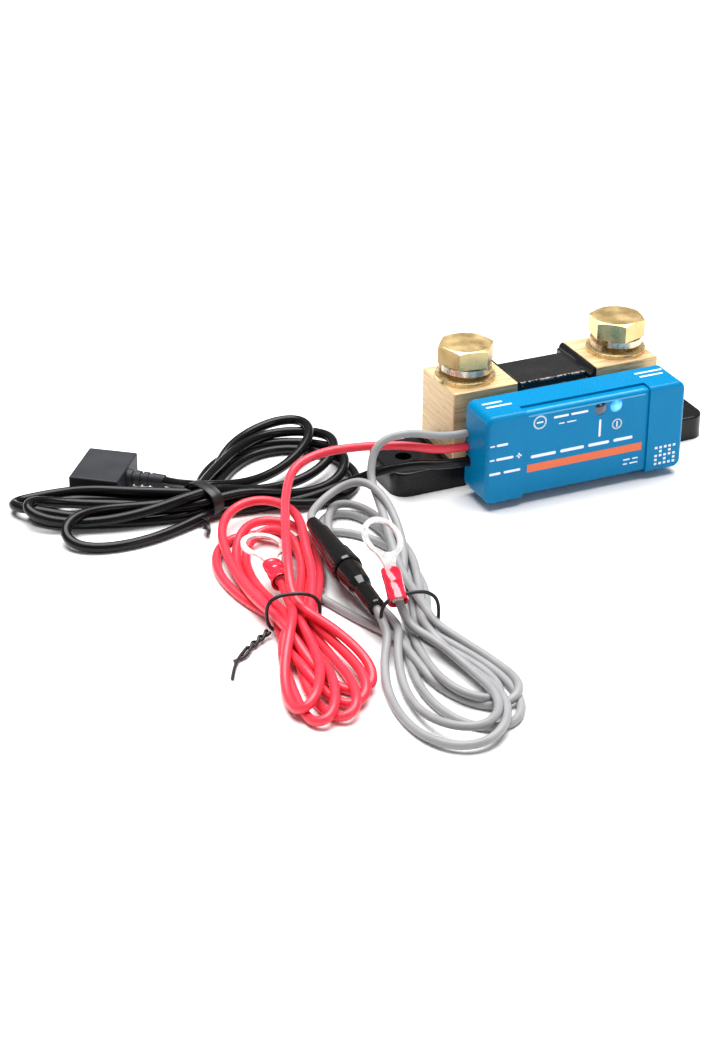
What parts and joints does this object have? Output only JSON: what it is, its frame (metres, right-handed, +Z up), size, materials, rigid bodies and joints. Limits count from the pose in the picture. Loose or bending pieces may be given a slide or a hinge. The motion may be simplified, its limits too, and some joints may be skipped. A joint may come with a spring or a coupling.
{
  "type": "battery monitor shunt",
  "caption": "Current shunt with brass terminal blocks on a moulded base, a sensing unit in a blue cover, a fused cord, a sense cord and a data cord, each in a tied hank.",
  "frame": {"origin": "centre of the shunt's footprint, without its cords, on the surface it stands on", "axes": "+X along the base from the load block to the battery block, -Y out of the cover's front, +Z up"},
  "size_m": [0.2385, 0.2115, 0.0464],
  "materials": {
    "base_plastic": "glossy black moulded",
    "block_brass": "brushed, machined from bar",
    "plate_lacquer": "black lacquer over resistance alloy",
    "screw_steel": "zinc plated",
    "bolt_brass": "yellow brass, satin",
    "washer_brass": "yellow brass, satin",
    "spring_steel": "plated spring steel",
    "cover_blue": "satin blue moulded",
    "board_green": "solder mask",
    "chip_black": "moulded package",
    "shield_metal": "tinned shield",
    "led_dark": "tinted lens, not lit",
    "led_blue": "blue lens, lit",
    "bush_rubber": "moulded bush",
    "copper": "tinned copper strand",
    "grey_pvc": "smooth grey insulation",
    "red_pvc": "smooth red insulation",
    "black_pvc": "glossy black jacket",
    "tie_black": "plastic covered wire",
    "holder_black": "glossy black moulded",
    "fuse_glass_clear": "clear glass tube",
    "contact_nickel": "nickel plated",
    "terminal_tin": "tinned copper",
    "sleeve_red": "glossy red insulating sleeve",
    "plug_black": "fine spark-eroded texture"
  },
  "bodies": {
    "shunt": {"mounting_base": "base_plastic", "load_block": "block_brass", "battery_block": "block_brass", "upper_resistor_plate": "plate_lacquer", "middle_resistor_plate": "plate_lacquer", "lower_resistor_plate": "plate_lacquer", "block_screws": "screw_steel", "sense_screws": "screw_steel", "sense_standoffs": "washer_brass", "front_cover": "cover_blue", "rear_cover": "cover_blue", "circuit_board": "board_green", "processor_chip": "chip_black", "board_components": "chip_black", "radio_module": "shield_metal", "led_legs": "shield_metal", "error_led": "led_dark", "status_led": "led_blue", "cord_bushes": "bush_rubber", "lead_tails": "copper", "aux_lead": "grey_pvc", "aux_hank": "grey_pvc", "aux_tail": "grey_pvc", "voltage_lead": "red_pvc", "voltage_hank": "red_pvc", "voltage_tail": "red_pvc", "data_lead": "black_pvc", "data_hank": "black_pvc", "data_tail": "black_pvc", "aux_tie": "tie_black", "voltage_tie": "tie_black", "data_tie": "tie_black", "fuse_holder_body": "holder_black", "fuse_glass": "fuse_glass_clear", "fuse_end_caps": "contact_nickel", "body_contact": "contact_nickel", "aux_ring_terminal": "terminal_tin", "voltage_ring_terminal": "terminal_tin", "plug_contacts": "terminal_tin", "aux_crimp_sleeve": "sleeve_red", "voltage_crimp_sleeve": "sleeve_red", "plug_body": "plug_black", "plug_strain_relief": "plug_black"},
    "load_washers": {"load_flat_washer": "washer_brass", "load_spring_washer": "spring_steel"},
    "load_bolt_body": {"load_bolt": "bolt_brass"},
    "battery_washers": {"battery_flat_washer": "washer_brass", "battery_spring_washer": "spring_steel"},
    "battery_bolt_body": {"battery_bolt": "bolt_brass"},
    "fuse_cap": {"fuse_holder_cap": "holder_black", "cap_contact": "contact_nickel", "fuse_spring": "spring_steel"}
  },
  "joints": [
    {"name": "load_washer_lift", "type": "slide", "parent": "shunt", "child": "load_washers", "axis": [0, 0, 1], "range_m": [0, 0.018]},
    {"name": "load_bolt_turn", "type": "hinge", "parent": "load_washers", "child": "load_bolt_body", "pos_m": [-0.0289, 0.01035, 0.04], "axis": [0, 0, 1], "range_deg": [0, 4350]},
    {"name": "battery_washer_lift", "type": "slide", "parent": "shunt", "child": "battery_washers", "axis": [0, 0, 1], "range_m": [0, 0.018]},
    {"name": "battery_bolt_turn", "type": "hinge", "parent": "battery_washers", "child": "battery_bolt_body", "pos_m": [0.0289, 0.01035, 0.04], "axis": [0, 0, 1], "range_deg": [0, 4350]},
    {"name": "fuse_cap_twist", "type": "hinge", "parent": "shunt", "child": "fuse_cap", "pos_m": [-0.0994, -0.0234, 0.0096], "axis": [-0.0727, -0.9974, 0], "range_deg": [0, 45]}
  ],
  "couplings": [
    {"joint": "load_bolt_turn", "follows": "load_washer_lift", "rad_per_m": 4188.8},
    {"joint": "battery_bolt_turn", "follows": "battery_washer_lift", "rad_per_m": 4188.8}
  ]
}
